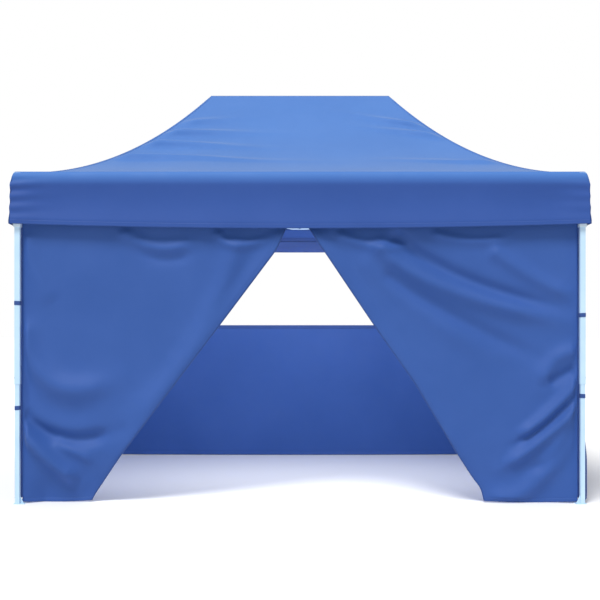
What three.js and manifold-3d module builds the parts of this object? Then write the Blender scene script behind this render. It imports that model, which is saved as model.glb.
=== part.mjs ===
// Pop up gazebo, 4.1 x 2.8 x 3.2 m: scissor-truss frame on four telescopic legs, canopy and side walls.
// Millimetres, +Z up, the doorway side faces -Y. Origin: on the ground under the middle of the frame.
import * as THREE from 'three';
import { mergeVertices } from 'three/addons/utils/BufferGeometryUtils.js';
import Module from 'manifold-3d';

const wasm = await Module();
wasm.setup();

// ---- driving dimensions -------------------------------------------------------------------------
const LEG_X = 2005;             // leg centreline from the middle, along the 4 m side
const PIVOT_INSET = 45;         // leg centreline to the first scissor pivot
const BAYS_LONG = 3;            // scissor pairs along each long side
const BAYS_SHORT = 2;           // scissor pairs along each short side
const TOP_PIVOT_Z = 2315;
const PIVOT_DROP = 300;         // top pivots to bottom pivots while the frame is open
const LEG_TO_VALANCE = 45;      // leg centreline to the outside of the valance
const CLEAR = 0.3;              // gap between pieces that touch

const BAY = 2 * (LEG_X - PIVOT_INSET) / BAYS_LONG;
const LEG_Y = PIVOT_INSET + BAY * BAYS_SHORT / 2;
const BOTTOM_PIVOT_Z = TOP_PIVOT_Z - PIVOT_DROP;
const BAR_LENGTH = Math.hypot(BAY, PIVOT_DROP);
const BAR_ANGLE = Math.atan2(PIVOT_DROP, BAY);

// scissor bars: rectangular steel tube
const BAR = { height: 25, thick: 12, wall: 1.2, overhang: 14 };
const PIN_R = 4;
const PIN_HOLE_R = 4.5;
const SPACER_R = 8;
const HEAD = { r: 7, thick: 2.5 };
const TONGUE = { thick: 8, height: 24, past: 12 };
const TRUSS_GAP = 9;            // between the two bars of a pair: one tongue and its clearance
const SPINE_GAP = 60;           // the same on the middle truss, which has the roof poles inside it
const BLOCK_WIDTH = SPINE_GAP - 1;
const STUB_DEPTH = 8;

// legs
const OUTER_LEG = { side: 38, wall: 2, bottom: 850, top: 2345 };
const INNER_LEG = { side: 32, wall: 2, top: 1100 };
const CORNER_BLOCK = { side: 50, bottom: 2290, top: 2350 };
const SLIDER = { side: 50, bore: 39.6, bottom: 1965, top: 2045 };
const FOOT = { side: 75, thick: 5, shift: 12, gusset: 60, gussetThick: 3, gussetBack: 6 };
const BUTTON = { z: 1985, pinR: 5, holeR: 5.5, knob: 20, knobThick: 6.5, start: 22.6, gap: 3.6, tail: 2 };

// roof poles and their brackets
const POLE = { r: 14, top: 3158 };
const GUIDE = { side: 50, bottom: 2290, top: 2345, boreR: 15, sleeveR: 19, sleeveBottom: 2052 };
const POLE_BLOCK = { side: 50, bottom: 1990, top: 2040 };
const T_BRACKET = { width: 24, rise: 20, plate: 12, blockStart: 22 };

// fabric
const CLOTH = 3;
const EAVE_Z = 2356;
const RIDGE_Z = 3180;
const RIDGE_HALF = 740;
const VALANCE_BOTTOM = 1975;
const ROOF_CURVE = 1.9;         // how hollow the roof hangs between eave and ridge, 1 is flat
const ROOF_STEPS = 6;
const SEAM = 0.5;
const CANOPY_X = LEG_X + LEG_TO_VALANCE;
const CANOPY_Y = LEG_Y + LEG_TO_VALANCE;
const WALL = { top: 2168, bottom: 12 };
const WALL_INSET = 22.7;        // leg centreline to the middle of the cloth, front and back
const SIDE_WALL_OUTSET = 24.5;  // leg centreline out to the middle of the cloth, short sides
const WALL_SIDE_GAP = 33;       // leg centreline to the side edge of a wall
const FLAP_INSET = 27.5;        // leg centreline to the side edge of a door flap
const DOOR_TOP_GAP = 20;        // middle of the doorway to a flap's top corner
// slanting inner edges of the door flaps as X and Z, the left from its foot up, the right down
const DOOR_LEFT = [[-1508, 12], [-1475, 60], [-1281, 341], [-579, 1263], [-174, 1802], [-104, 1958]];
const DOOR_RIGHT = [
  [62, 1967], [158, 1823], [528, 1274], [823, 855], [1118, 362], [1235, 184], [1296, 108], [1325, 12],
];
const WINDOW = { halfWidth: 1300, bottom: 1239, top: 2070, corner: 60, film: 1 };

const OVER = 1;                 // how far pieces run into each other, and cuts run past a face
const ROOT = 2;                 // how deep a pin is set in what carries it

const PIN_SEGMENTS = 8;
const CORNER_SEGMENTS = 6;
const POLE_SEGMENTS = 20;
const X_AXIS = new THREE.Vector3(1, 0, 0);

// ---- materials ----------------------------------------------------------------------------------
const paint = () => new THREE.MeshStandardMaterial({ color: 0xd6ebf7, roughness: 0.35, metalness: 0.1 });
const plastic = () => new THREE.MeshStandardMaterial({ color: 0xe6eef3, roughness: 0.5, metalness: 0 });
const greyPlastic = () => new THREE.MeshStandardMaterial({ color: 0x8c9499, roughness: 0.5, metalness: 0 });
const roofCloth = () => new THREE.MeshStandardMaterial({ color: 0x3f63b4, roughness: 0.8, metalness: 0 });
const wallCloth = () => new THREE.MeshStandardMaterial({ color: 0x3b5ea9, roughness: 0.8, metalness: 0 });
const film = () => new THREE.MeshStandardMaterial({ color: 0xf4f8fa, roughness: 0.1, metalness: 0 });

// ---- solids -------------------------------------------------------------------------------------
function toSolid(geometry) {
  const bare = geometry.index ? geometry.clone() : geometry;
  bare.deleteAttribute('normal');
  bare.deleteAttribute('uv');
  const merged = mergeVertices(bare, 1e-4);
  return new wasm.Manifold(new wasm.Mesh({
    numProp: 3,
    vertProperties: new Float32Array(merged.attributes.position.array),
    triVerts: new Uint32Array(merged.index.array),
  }));
}

function toGeometry(solid) {
  const { vertProperties, triVerts, numProp } = solid.getMesh();
  const positions = new Float32Array(vertProperties.length / numProp * 3);
  for (let i = 0; i < positions.length / 3; i += 1) {
    for (let k = 0; k < 3; k += 1) positions[3 * i + k] = vertProperties[numProp * i + k];
  }
  const geometry = new THREE.BufferGeometry();
  geometry.setAttribute('position', new THREE.BufferAttribute(positions, 3));
  geometry.setIndex(new THREE.BufferAttribute(new Uint32Array(triVerts), 1));
  return geometry;
}

// a box between two corners
function box([x0, y0, z0], [x1, y1, z1]) {
  const geometry = new THREE.BoxGeometry(Math.abs(x1 - x0), Math.abs(y1 - y0), Math.abs(z1 - z0));
  return toSolid(geometry.translate((x0 + x1) / 2, (y0 + y1) / 2, (z0 + z1) / 2));
}

// a cylinder between two points
function rod(from, to, r, segments = PIN_SEGMENTS) {
  const start = new THREE.Vector3(...from);
  const way = new THREE.Vector3(...to).sub(start);
  const geometry = new THREE.CylinderGeometry(r, r, way.length(), segments);
  geometry.rotateZ(-Math.PI / 2).translate(way.length() / 2, 0, 0);
  const turn = new THREE.Quaternion().setFromUnitVectors(X_AXIS, way.clone().normalize());
  return toSolid(geometry.applyQuaternion(turn).translate(...start));
}

// an upright square tube, open at the bottom and, with openTop, at the top
function squareTube(side, wall, bottom, top, openTop) {
  const half = side / 2;
  const inner = half - wall;
  const roof = openTop ? top + OVER : top - wall;
  return box([-half, -half, bottom], [half, half, top])
    .subtract(box([-inner, -inner, bottom - OVER], [inner, inner, roof]));
}

function join(first, ...others) {
  return others.reduce((whole, piece) => whole.add(piece), first);
}

// a flat outline in X and Z, given a thickness along Y from y to y + thick
function plate(points, y, thick, holes = []) {
  const shape = new THREE.Shape(points.map(([x, z]) => new THREE.Vector2(x, z)));
  shape.holes = holes;
  const geometry = new THREE.ExtrudeGeometry(shape, {
    depth: thick, bevelEnabled: false, curveSegments: CORNER_SEGMENTS,
  });
  return geometry.rotateX(Math.PI / 2).translate(0, y + thick, 0);
}

// a thin closed sheet through rows of [left point, right point]; inner rows lie under the outer ones
function sheet(outerRows, innerRows) {
  const count = outerRows.length;
  const corners = [...outerRows, ...innerRows].flat().map((p) => new THREE.Vector3(...p));
  const at = (layer, row, side) => 2 * (layer * count + row) + side;
  const quads = [];
  for (let r = 0; r + 1 < count; r += 1) {
    quads.push([at(0, r, 0), at(0, r, 1), at(0, r + 1, 1), at(0, r + 1, 0)]);
    quads.push([at(1, r, 1), at(1, r, 0), at(1, r + 1, 0), at(1, r + 1, 1)]);
    quads.push([at(1, r, 0), at(0, r, 0), at(0, r + 1, 0), at(1, r + 1, 0)]);
    quads.push([at(0, r, 1), at(1, r, 1), at(1, r + 1, 1), at(0, r + 1, 1)]);
  }
  quads.push([at(1, 0, 0), at(1, 0, 1), at(0, 0, 1), at(0, 0, 0)]);
  const last = count - 1;
  quads.push([at(0, last, 0), at(0, last, 1), at(1, last, 1), at(1, last, 0)]);
  const geometry = new THREE.BufferGeometry().setFromPoints(corners);
  geometry.setIndex(quads.flatMap(([a, b, c, d]) => [a, b, c, a, c, d]));
  return geometry;
}

// ---- the object ---------------------------------------------------------------------------------
const gazebo = new THREE.Group();

function place(parent, name, shape, material, position = [0, 0, 0]) {
  const geometry = shape.isBufferGeometry ? shape : toGeometry(shape);
  const mesh = new THREE.Mesh(geometry, material);
  mesh.name = name;
  mesh.position.set(...position);
  parent.add(mesh);
  return mesh;
}

// Pivot fittings, in a bar's own frame: the bar runs along X, its inner face looks along Y times
// `inward`, and `gap` is the space to the other bar of its pair.
function spacerPin(x, gap, inward, face) {
  const y = (reach) => inward * (face + reach);
  return join(
    rod([x, inward * (face - ROOT), 0], [x, y(gap - CLEAR), 0], SPACER_R),
    rod([x, y(gap - ROOT), 0], [x, y(gap + BAR.thick + 2 * CLEAR + HEAD.thick), 0], PIN_R),
    rod([x, y(gap + BAR.thick + CLEAR), 0], [x, y(gap + BAR.thick + CLEAR + HEAD.thick), 0], HEAD.r),
  );
}

function longPin(x, gap, inward, face) {
  const y = (reach) => inward * (face + reach);
  const end = gap + BAR.thick + CLEAR;
  return join(
    rod([x, inward * (face - ROOT), 0], [x, y(end + HEAD.thick), 0], PIN_R),
    rod([x, y(end), 0], [x, y(end + HEAD.thick), 0], HEAD.r),
  );
}

function tonguePin(x, gap, inward, face) {
  const y = (reach) => inward * (face + reach);
  const end = (gap + TONGUE.thick) / 2 + CLEAR;
  return join(
    rod([x, inward * (face - ROOT), 0], [x, y(end + HEAD.thick), 0], PIN_R),
    rod([x, y(end), 0], [x, y(end + HEAD.thick), 0], HEAD.r),
  );
}

function stub(x, gap, inward, face) {
  return rod([x, inward * (face - ROOT), 0], [x, inward * (face + STUB_DEPTH), 0], PIN_R);
}

const FITTINGS = { spacer: spacerPin, long: longPin, tongue: tonguePin, stub };

function bar(ends, centre, gap, inward) {
  const half = BAR_LENGTH / 2;
  const [h, t, wall, past] = [BAR.height / 2, BAR.thick / 2, BAR.wall, half + BAR.overhang];
  let solid = box([-past, -t, -h], [past, t, h])
    .subtract(box([-past - OVER, wall - t, wall - h], [past + OVER, t - wall, h - wall]));
  const stations = [[-half, ends[0]], [0, centre], [half, ends[1]]];
  for (const [x, kind] of stations) {
    if (kind === 'hole') {
      solid = solid.subtract(rod([x, -t - OVER, 0], [x, t + OVER, 0], PIN_HOLE_R));
    } else {
      solid = solid.add(FITTINGS[kind](x, gap, inward, t));
    }
  }
  return solid;
}

// One truss along its group's X axis, from x = -length / 2. `falling` and `rising` give each bar's
// two end fittings. Falling bars lie on +Y of the truss, rising bars on -Y.
function truss(name, gap, bays, turn, x, y, fittings) {
  const group = new THREE.Group();
  group.position.set(x, y, (TOP_PIVOT_Z + BOTTOM_PIVOT_Z) / 2);
  group.rotation.z = turn;
  const offset = (gap + BAR.thick) / 2;
  for (let bay = 0; bay < bays; bay += 1) {
    const middle = (bay + 0.5 - bays / 2) * BAY;
    const { falling, rising } = fittings[bay];
    const down = place(group, `${name}_bar_${bay + 1}_falling`, bar(falling, 'spacer', gap, -1), paint());
    down.position.set(middle, offset, 0);
    down.rotation.y = BAR_ANGLE;
    const up = place(group, `${name}_bar_${bay + 1}_rising`, bar(rising, 'hole', gap, 1), paint());
    up.position.set(middle, -offset, 0);
    up.rotation.y = -BAR_ANGLE;
  }
  gazebo.add(group);
}

const LONG_SIDE = [
  { falling: ['tongue', 'spacer'], rising: ['tongue', 'hole'] },
  { falling: ['spacer', 'spacer'], rising: ['hole', 'hole'] },
  { falling: ['spacer', 'tongue'], rising: ['hole', 'tongue'] },
];
const SHORT_SIDE = [
  { falling: ['tongue', 'long'], rising: ['tongue', 'hole'] },
  { falling: ['long', 'tongue'], rising: ['hole', 'tongue'] },
];
const SPINE = Array(BAYS_LONG).fill({ falling: ['stub', 'stub'], rising: ['stub', 'stub'] });

function trusses() {
  truss('front', TRUSS_GAP, BAYS_LONG, 0, 0, -LEG_Y, LONG_SIDE);
  truss('back', TRUSS_GAP, BAYS_LONG, 0, 0, LEG_Y, LONG_SIDE);
  truss('left', TRUSS_GAP, BAYS_SHORT, Math.PI / 2, -LEG_X, 0, SHORT_SIDE);
  truss('right', TRUSS_GAP, BAYS_SHORT, Math.PI / 2, LEG_X, 0, SHORT_SIDE);
  truss('middle', SPINE_GAP, BAYS_LONG, 0, 0, 0, SPINE);
}

// the two tongues of a corner bracket or slider, towards the middle of the frame along X and Y
function tongues(inX, inY, start, z) {
  const half = TONGUE.thick / 2;
  const tall = TONGUE.height / 2;
  const end = PIVOT_INSET + TONGUE.past;
  return join(
    box([inX * start, -half, z - tall], [inX * end, half, z + tall]),
    box([-half, inY * start, z - tall], [half, inY * end, z + tall]),
  );
}

function tongueHoles(inX, inY, z) {
  const across = TONGUE.thick;
  return join(
    rod([inX * PIVOT_INSET, -across, z], [inX * PIVOT_INSET, across, z], PIN_HOLE_R),
    rod([-across, inY * PIVOT_INSET, z], [across, inY * PIVOT_INSET, z], PIN_HOLE_R),
  );
}

function outerLeg(inX, inY) {
  const { side, wall, bottom, top } = OUTER_LEG;
  const half = CORNER_BLOCK.side / 2;
  return join(
    squareTube(side, wall, bottom, top, false),
    box([-half, -half, CORNER_BLOCK.bottom], [half, half, CORNER_BLOCK.top])
      .subtract(box([1 - side / 2, 1 - side / 2, 0], [side / 2 - 1, side / 2 - 1, top - wall])),
    tongues(inX, inY, half - OVER, TOP_PIVOT_Z),
  ).subtract(tongueHoles(inX, inY, TOP_PIVOT_Z));
}

function slider(inX, inY) {
  const half = SLIDER.side / 2;
  const bore = SLIDER.bore / 2;
  return join(
    box([-half, -half, SLIDER.bottom], [half, half, SLIDER.top]),
    tongues(inX, inY, half - OVER, BOTTOM_PIVOT_Z),
  )
    .subtract(box([-bore, -bore, SLIDER.bottom - OVER], [bore, bore, SLIDER.top + OVER]))
    .subtract(tongueHoles(inX, inY, BOTTOM_PIVOT_Z))
    .subtract(rod([0, 0, BUTTON.z], [-inX * (half + OVER), 0, BUTTON.z], BUTTON.holeR));
}

function sliderButton(inX) {
  const face = SLIDER.side / 2 + BUTTON.gap;
  const half = BUTTON.knob / 2;
  const out = -inX;
  return join(
    rod([out * BUTTON.start, 0, BUTTON.z], [out * (face + BUTTON.tail), 0, BUTTON.z], BUTTON.pinR),
    box([out * face, -half, BUTTON.z - half], [out * (face + BUTTON.knobThick), half, BUTTON.z + half]),
  );
}

// inner leg with its foot plate and the web that stiffens it
function innerLeg(inX, inY) {
  const { side, wall, top } = INNER_LEG;
  const half = FOOT.side / 2;
  const shiftX = inX * FOOT.shift;
  const shiftY = inY * FOOT.shift;
  const web = FOOT.gussetThick / 2;
  const reach = inX * (half + FOOT.shift - FOOT.gussetBack);
  const outline = [[inX * (side / 2 - OVER), FOOT.thick - OVER], [reach, FOOT.thick - OVER],
    [inX * (side / 2 - OVER), FOOT.thick + FOOT.gusset]];
  return join(
    squareTube(side, wall, FOOT.thick - OVER, top, true),
    box([shiftX - half, shiftY - half, 0], [shiftX + half, shiftY + half, FOOT.thick]),
    toSolid(plate(outline, -web, FOOT.gussetThick)),
  );
}

function legs() {
  for (const [sideY, inY] of [['front', 1], ['back', -1]]) {
    for (const [sideX, inX] of [['left', 1], ['right', -1]]) {
      const corner = new THREE.Group();
      corner.position.set(-inX * LEG_X, -inY * LEG_Y, 0);
      const at = `${sideY}_${sideX}`;
      place(corner, `leg_outer_${at}`, outerLeg(inX, inY), paint());
      place(corner, `leg_inner_${at}`, innerLeg(inX, inY), paint());
      place(corner, `slider_${at}`, slider(inX, inY), plastic());
      place(corner, `slider_button_${at}`, sliderButton(inX), greyPlastic());
      gazebo.add(corner);
    }
  }
}

// Bracket in the middle of a short side. Its tongue stands between the side bars, a plate passes
// over (up = 1) or under (up = -1) them, and the block beyond them takes the middle truss.
function sideBracket(inX, up, pivotZ) {
  const half = TONGUE.thick / 2;
  const width = T_BRACKET.width / 2;
  const blockHalf = BLOCK_WIDTH / 2;
  const z = (height) => pivotZ + up * height;
  const end = PIVOT_INSET + TONGUE.past;
  const plateTop = T_BRACKET.rise + T_BRACKET.plate;
  const body = join(
    box([-half, -width, z(-TONGUE.height / 2)], [half, width, z(plateTop)]),
    box([-inX * half, -width, z(T_BRACKET.rise)], [inX * end, width, z(plateTop)]),
    box([inX * T_BRACKET.blockStart, -blockHalf, z(-TONGUE.height / 2)], [inX * end, blockHalf, z(plateTop)]),
  );
  const hole = rod([-half - OVER, 0, pivotZ], [half + OVER, 0, pivotZ], PIN_HOLE_R);
  return body.subtract(hole).subtract(stubHoles(inX * PIVOT_INSET, pivotZ));
}

// blind holes in a block's two faces for the stubs of the middle truss
function stubHoles(x, z) {
  const face = BLOCK_WIDTH / 2;
  const bottom = face - STUB_DEPTH;
  return join(
    rod([x, bottom, z], [x, face + OVER, z], PIN_HOLE_R),
    rod([x, -bottom, z], [x, -face - OVER, z], PIN_HOLE_R),
  );
}

function peakGuide() {
  const { side, bottom, top, boreR, sleeveR, sleeveBottom } = GUIDE;
  return join(
    box([-side / 2, -BLOCK_WIDTH / 2, bottom], [side / 2, BLOCK_WIDTH / 2, top]),
    rod([0, 0, sleeveBottom], [0, 0, bottom + OVER], sleeveR, POLE_SEGMENTS),
  )
    .subtract(rod([0, 0, sleeveBottom - OVER], [0, 0, top + OVER], boreR, POLE_SEGMENTS))
    .subtract(stubHoles(0, TOP_PIVOT_Z));
}

function peakPole() {
  const { side, bottom, top } = POLE_BLOCK;
  return join(
    box([-side / 2, -BLOCK_WIDTH / 2, bottom], [side / 2, BLOCK_WIDTH / 2, top]),
    rod([0, 0, top - OVER], [0, 0, POLE.top], POLE.r, POLE_SEGMENTS),
  ).subtract(stubHoles(0, BOTTOM_PIVOT_Z));
}

function brackets() {
  for (const [side, inX] of [['left', 1], ['right', -1]]) {
    const top = sideBracket(inX, 1, TOP_PIVOT_Z);
    const bottom = sideBracket(inX, -1, BOTTOM_PIVOT_Z);
    place(gazebo, `side_bracket_${side}_top`, top, plastic(), [-inX * LEG_X, 0, 0]);
    place(gazebo, `side_bracket_${side}_bottom`, bottom, plastic(), [-inX * LEG_X, 0, 0]);
    place(gazebo, `peak_guide_${side}`, peakGuide(), plastic(), [-inX * BAY / 2, 0, 0]);
    place(gazebo, `peak_pole_${side}`, peakPole(), paint(), [-inX * BAY / 2, 0, 0]);
  }
}

// ---- fabric -------------------------------------------------------------------------------------
// A roof panel with its valance, for the side facing -Y of its own frame. The panel runs from the
// eave, `eaveHalf` to each side at `outside` from the middle, up to a top edge of `topHalf` at `inside`.
function roofPanel(eaveHalf, topHalf, outside, inside, valanceHalf) {
  const depth = outside - inside;
  const halfAt = (u) => Math.max(eaveHalf + (topHalf - eaveHalf) * u - SEAM, SEAM);
  const rowAt = (half, y, z) => [[-half, y, z], [half, y, z]];
  const outer = [
    rowAt(valanceHalf, -outside, VALANCE_BOTTOM),
    rowAt(valanceHalf, -outside, EAVE_Z),
  ];
  const inner = [
    rowAt(valanceHalf, CLOTH - outside, VALANCE_BOTTOM),
    rowAt(Math.min(valanceHalf, halfAt(CLOTH / depth)), CLOTH - outside, EAVE_Z - CLOTH),
  ];
  for (let step = 1; step <= ROOF_STEPS; step += 1) {
    const u = step / ROOF_STEPS;
    const y = Math.min(depth * u - outside, -inside - SEAM);
    const z = EAVE_Z + (RIDGE_Z - EAVE_Z) * u ** ROOF_CURVE;
    outer.push(rowAt(halfAt(u), y, z));
    inner.push(rowAt(halfAt(u), y, z - CLOTH));
  }
  return sheet(outer, inner);
}

function canopy() {
  const long = () => roofPanel(CANOPY_X, RIDGE_HALF, CANOPY_Y, 0, CANOPY_X);
  const short = () => roofPanel(CANOPY_Y, 0, CANOPY_X, RIDGE_HALF, CANOPY_Y - CLOTH - SEAM);
  place(gazebo, 'canopy_front', long(), roofCloth());
  place(gazebo, 'canopy_back', long(), roofCloth()).rotation.z = Math.PI;
  place(gazebo, 'canopy_right', short(), roofCloth()).rotation.z = Math.PI / 2;
  place(gazebo, 'canopy_left', short(), roofCloth()).rotation.z = -Math.PI / 2;
}

// The two halves of the doorway wall, each folded back along a slanting edge and tied to its leg.
function doorFlaps() {
  const edge = LEG_X - FLAP_INSET;
  const y = -(LEG_Y - WALL_INSET);
  const left = [[-edge, WALL.top], [-edge, WALL.bottom], ...DOOR_LEFT, [-DOOR_TOP_GAP, WALL.top]];
  const right = [[edge, WALL.top], [DOOR_TOP_GAP, WALL.top], ...DOOR_RIGHT, [edge, WALL.bottom]];
  place(gazebo, 'door_flap_left', plate(left, y - CLOTH / 2, CLOTH), wallCloth());
  place(gazebo, 'door_flap_right', plate(right, y - CLOTH / 2, CLOTH), wallCloth());
}

// a rounded rectangle in X and Z, as a path
function roundedPath(Type, halfWidth, bottom, top, r) {
  const path = new Type();
  path.moveTo(-halfWidth + r, bottom);
  path.lineTo(halfWidth - r, bottom);
  path.absarc(halfWidth - r, bottom + r, r, -Math.PI / 2, 0, false);
  path.absarc(halfWidth - r, top - r, r, 0, Math.PI / 2, false);
  path.absarc(-halfWidth + r, top - r, r, Math.PI / 2, Math.PI, false);
  path.absarc(-halfWidth + r, bottom + r, r, Math.PI, 1.5 * Math.PI, false);
  return path;
}

function walls() {
  const backHalf = LEG_X - WALL_SIDE_GAP;
  const outline = (half) => [[-half, WALL.bottom], [half, WALL.bottom], [half, WALL.top], [-half, WALL.top]];
  const { halfWidth, bottom, top, corner } = WINDOW;
  const backY = LEG_Y - WALL_INSET;
  const hole = roundedPath(THREE.Path, halfWidth, bottom, top, corner);
  place(gazebo, 'back_wall', plate(outline(backHalf), backY - CLOTH / 2, CLOTH, [hole]), wallCloth());
  const pane = roundedPath(THREE.Shape, halfWidth - CLEAR, bottom + CLEAR, top - CLEAR, corner - CLEAR);
  const geometry = new THREE.ExtrudeGeometry(pane, {
    depth: WINDOW.film, bevelEnabled: false, curveSegments: CORNER_SEGMENTS,
  });
  geometry.rotateX(Math.PI / 2).translate(0, backY + WINDOW.film / 2, 0);
  place(gazebo, 'back_window', geometry, film());

  const sideX = LEG_X + SIDE_WALL_OUTSET;
  const sideHalf = LEG_Y - WALL_SIDE_GAP;
  for (const [side, x] of [['left', -sideX], ['right', sideX]]) {
    const wall = place(gazebo, `side_wall_${side}`, plate(outline(sideHalf), -CLOTH / 2, CLOTH), wallCloth());
    wall.rotation.z = Math.PI / 2;
    wall.position.x = x;
  }
}

trusses();
legs();
brackets();
canopy();
doorFlaps();
walls();

export default gazebo;
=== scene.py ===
"""Pop up gazebo: fabric, seams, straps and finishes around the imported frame. Metres, +Z up, doorway at -Y."""
import math

import bpy
import numpy as np
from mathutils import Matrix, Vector


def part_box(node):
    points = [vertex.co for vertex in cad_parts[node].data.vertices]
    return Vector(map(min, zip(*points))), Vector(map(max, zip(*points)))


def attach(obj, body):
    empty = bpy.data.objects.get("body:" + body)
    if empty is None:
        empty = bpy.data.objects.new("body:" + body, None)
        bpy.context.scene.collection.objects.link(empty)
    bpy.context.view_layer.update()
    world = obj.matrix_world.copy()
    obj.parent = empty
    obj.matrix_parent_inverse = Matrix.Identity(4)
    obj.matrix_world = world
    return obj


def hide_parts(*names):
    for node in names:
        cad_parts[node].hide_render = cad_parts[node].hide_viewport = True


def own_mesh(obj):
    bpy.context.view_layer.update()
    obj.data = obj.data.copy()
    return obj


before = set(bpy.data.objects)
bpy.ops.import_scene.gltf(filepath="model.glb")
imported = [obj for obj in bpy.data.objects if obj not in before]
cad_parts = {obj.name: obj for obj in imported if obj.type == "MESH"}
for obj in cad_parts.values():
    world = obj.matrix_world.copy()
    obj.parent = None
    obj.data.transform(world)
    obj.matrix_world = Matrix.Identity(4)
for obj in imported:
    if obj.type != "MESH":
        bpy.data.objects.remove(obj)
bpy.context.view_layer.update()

# ---- places taken from the frame ---------------------------------------------------------------
def corners_of(piece):
    """The lowest and the highest corner of a CAD piece at rest."""
    return [np.array(corner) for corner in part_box(piece)]


FRONT_LO, FRONT_HI = corners_of("canopy_front")
LEG_LO, LEG_HI = corners_of("leg_outer_front_left")
FLAP_LO, FLAP_HI = corners_of("door_flap_left")
BACK_LO, BACK_HI = corners_of("back_wall")
PANE_LO, PANE_HI = corners_of("back_window")
WALL_LO, WALL_HI = corners_of("side_wall_right")

CANOPY_X = FRONT_HI[0]
CANOPY_Y = -FRONT_LO[1]
RIDGE_Z = FRONT_HI[2]
RIDGE_HALF = -corners_of("canopy_left")[1][0]
VALANCE_Z = FRONT_LO[2]
EAVE_Z = LEG_HI[2] + 0.006
LEG_SIDE = 0.038
LEG_INSET = 0.045
LEG_X = CANOPY_X - LEG_INSET
LEG_Y = CANOPY_Y - LEG_INSET
# the roof's height grows with this power of the way from the eave to the ridge
ROOF_CURVE = 1.9

SIDES = ("front", "back", "left", "right")
LONG_SIDES = ("front", "back")
QUARTER = math.pi / 2

# half the width and the depth of the folded roof, and the share of its length that each sheet keeps
FOLDED_HALF_X = 0.24
FOLDED_HALF_Y = 0.19
KEEP_X = FOLDED_HALF_X / CANOPY_X
KEEP_Y = FOLDED_HALF_Y / CANOPY_Y

# cloth, and how far a hem or a hip lap lies above it
THICK_CLOTH = 0.0012
HEM_LIFT = 0.0013
LAP_LIFT = 0.0011

# rows of stitches: distance from one to the next, length, and rise above the cloth
ROOF_SEWING = {"pitch": 0.016, "dash": 0.010, "lift": 0.0022}
WALL_SEWING = {"pitch": 0.014, "dash": 0.009, "lift": 0.0020}
FLAP_SEWING = {"pitch": 0.014, "dash": 0.009, "lift": 0.0018}
THREAD_WIDTH = 0.0011
THREAD_SUNK = 0.0004


# ---- small helpers ------------------------------------------------------------------------------
def smooth(value, low, high):
    t = np.clip((value - low) / (high - low), 0.0, 1.0)
    return t * t * (3 - 2 * t)


def waves(a, b, seed, count=5, lowest=1.0, highest=4.0):
    """Soft irregular relief of about -1 to 1 over two coordinates in metres."""
    rng = np.random.default_rng(seed)
    total = np.zeros(np.broadcast(a, b).shape)
    for _ in range(count):
        turn = rng.uniform(0, math.tau)
        pitch = rng.uniform(lowest, highest) * math.tau / 2
        phase = rng.uniform(0, math.tau)
        total = total + np.sin(pitch * (a * math.cos(turn) + b * math.sin(turn)) + phase)
    return total / count * 1.6


def curve_points(points, count=24):
    """Points along a smooth curve through three given points."""
    p0, p1, p2 = (np.array(p, float) for p in points)
    middle = 2 * p1 - (p0 + p2) / 2
    t = np.linspace(0, 1, count)[:, None]
    return (1 - t) ** 2 * p0 + 2 * t * (1 - t) * middle + t * t * p2


def ridge(x, z, points, width, height, fade=0.25):
    """A soft ridge along a curve in a wall's own plane, fading at its far end."""
    line = curve_points(points)
    shape = np.broadcast(x, z).shape
    px = np.broadcast_to(x, shape).ravel()
    pz = np.broadcast_to(z, shape).ravel()
    best = np.full(px.shape, np.inf)
    along = np.zeros(px.shape)
    for k in range(len(line) - 1):
        a, d = line[k], line[k + 1] - line[k]
        t = np.clip(((px - a[0]) * d[0] + (pz - a[1]) * d[1]) / (d @ d), 0, 1)
        gap = np.hypot(px - a[0] - t * d[0], pz - a[1] - t * d[1])
        near = gap < best
        best = np.where(near, gap, best)
        along = np.where(near, (k + t) / (len(line) - 1), along)
    body = np.exp(-(best / width) ** 2) * (1 - smooth(along, 1 - fade, 1.0) * 0.85)
    return (height * body).reshape(shape)


def level_line(low, high, count, height):
    """A line of points at one height."""
    line = np.linspace(low, high, count)
    return np.stack([line, np.full_like(line, height)], axis=1)


def ring_faces(rings, around, closed=True):
    """Faces between rings of points, each with the next one; closed joins the last with the first."""
    faces = []
    for r in range(rings if closed else rings - 1):
        low, high = r * around, (r + 1) % rings * around
        for k in range(around):
            n = (k + 1) % around
            faces.append((low + k, low + n, high + n, high + k))
    return faces


def rounded_rectangle(half, low, high, corner, count=14):
    """A closed rounded rectangle between -half and half across, and low and high the other way."""
    points = []
    for cx, cz, start in ((half - corner, high - corner, 0), (-half + corner, high - corner, 1),
                          (-half + corner, low + corner, 2), (half - corner, low + corner, 3)):
        for k in range(count + 1):
            angle = (start + k / count) * QUARTER
            points.append((cx + corner * math.cos(angle), cz + corner * math.sin(angle)))
    return np.array(points)


def mesh_object(name, verts, faces, material, shade_smooth=True):
    mesh = bpy.data.meshes.new(name)
    mesh.from_pydata([tuple(v) for v in verts], [], faces)
    mesh.validate()
    obj = bpy.data.objects.new(name, mesh)
    bpy.context.scene.collection.objects.link(obj)
    mesh.materials.append(material)
    for polygon in mesh.polygons:
        polygon.use_smooth = shade_smooth
    return obj


def grid_normals(points):
    da = np.gradient(points, axis=1)
    db = np.gradient(points, axis=0)
    n = np.cross(da, db)
    length = np.linalg.norm(n, axis=2, keepdims=True)
    return n / np.maximum(length, 1e-12)


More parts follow.
